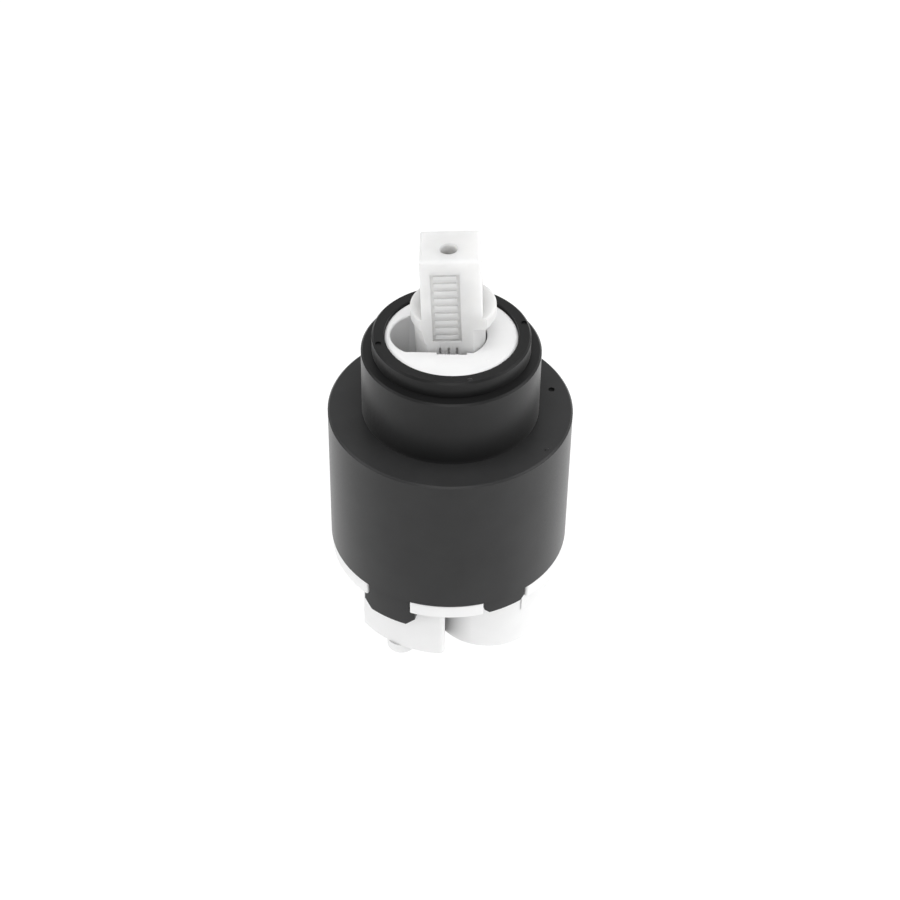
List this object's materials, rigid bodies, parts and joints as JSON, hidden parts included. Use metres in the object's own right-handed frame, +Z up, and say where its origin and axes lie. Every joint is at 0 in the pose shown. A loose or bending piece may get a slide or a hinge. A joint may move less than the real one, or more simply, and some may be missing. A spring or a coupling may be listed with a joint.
{
  "type": "single-lever diverter valve cartridge",
  "caption": "Single-lever ceramic disc valve cartridge: black barrel with neck, white turning body, translucent square lever, white ported base with locating pins.",
  "frame": {"origin": "on the body axis, at the tips of the locating pins", "axes": "+Z up the body axis towards the lever, +X towards the two side ports, -X towards the common port, -Y the front, with the plain panel on the lever"},
  "size_m": [0.04, 0.04, 0.0744],
  "materials": {
    "housing_plastic": "black glass-filled nylon, satin",
    "base_plastic": "white moulded acetal, satin",
    "turntable_plastic": "white moulded acetal, satin",
    "lever_plastic": "natural translucent nylon, satin",
    "carrier_plastic": "natural acetal",
    "washer_plastic": "white low-friction plastic",
    "bush_plastic": "hard dark plastic, polished",
    "ceramic_white": "lapped white alumina",
    "seal_rubber": "black moulded rubber",
    "mesh_steel": "perforated stainless steel",
    "pin_steel": "ground stainless steel"
  },
  "bodies": {
    "body": {"housing": "housing_plastic", "base": "base_plastic", "base_o_ring": "seal_rubber", "fixed_disc": "ceramic_white", "thrust_washer": "washer_plastic", "disc_seal_common": "seal_rubber", "disc_seal_side_front": "seal_rubber", "disc_seal_side_rear": "seal_rubber", "foot_seal_common": "seal_rubber", "foot_seal_side_front": "seal_rubber", "foot_seal_side_rear": "seal_rubber"},
    "turntable": {"turntable": "turntable_plastic", "turntable_o_ring": "seal_rubber", "lever_pin": "pin_steel"},
    "lever": {"lever": "lever_plastic", "lever_ball_bush": "bush_plastic"},
    "disc_carrier": {"carrier": "carrier_plastic", "moving_disc": "ceramic_white", "chamber_seal": "seal_rubber", "damper_mesh": "mesh_steel"}
  },
  "joints": [
    {"name": "turntable_turn", "type": "hinge", "parent": "body", "child": "turntable", "pos_m": [0, 0, 0.05], "axis": [0, 0, 1], "range_deg": [-50, 50]},
    {"name": "lever_tilt", "type": "hinge", "parent": "turntable", "child": "lever", "pos_m": [0.00075, 0, 0.051], "axis": [0, -1, 0], "range_deg": [0, 23]},
    {"name": "disc_slide", "type": "slide", "parent": "turntable", "child": "disc_carrier", "axis": [1, 0, 0], "range_m": [0, 0.00483]}
  ],
  "couplings": [
    {"joint": "lever_tilt", "follows": "disc_slide", "rad_per_m": 83.077}
  ]
}
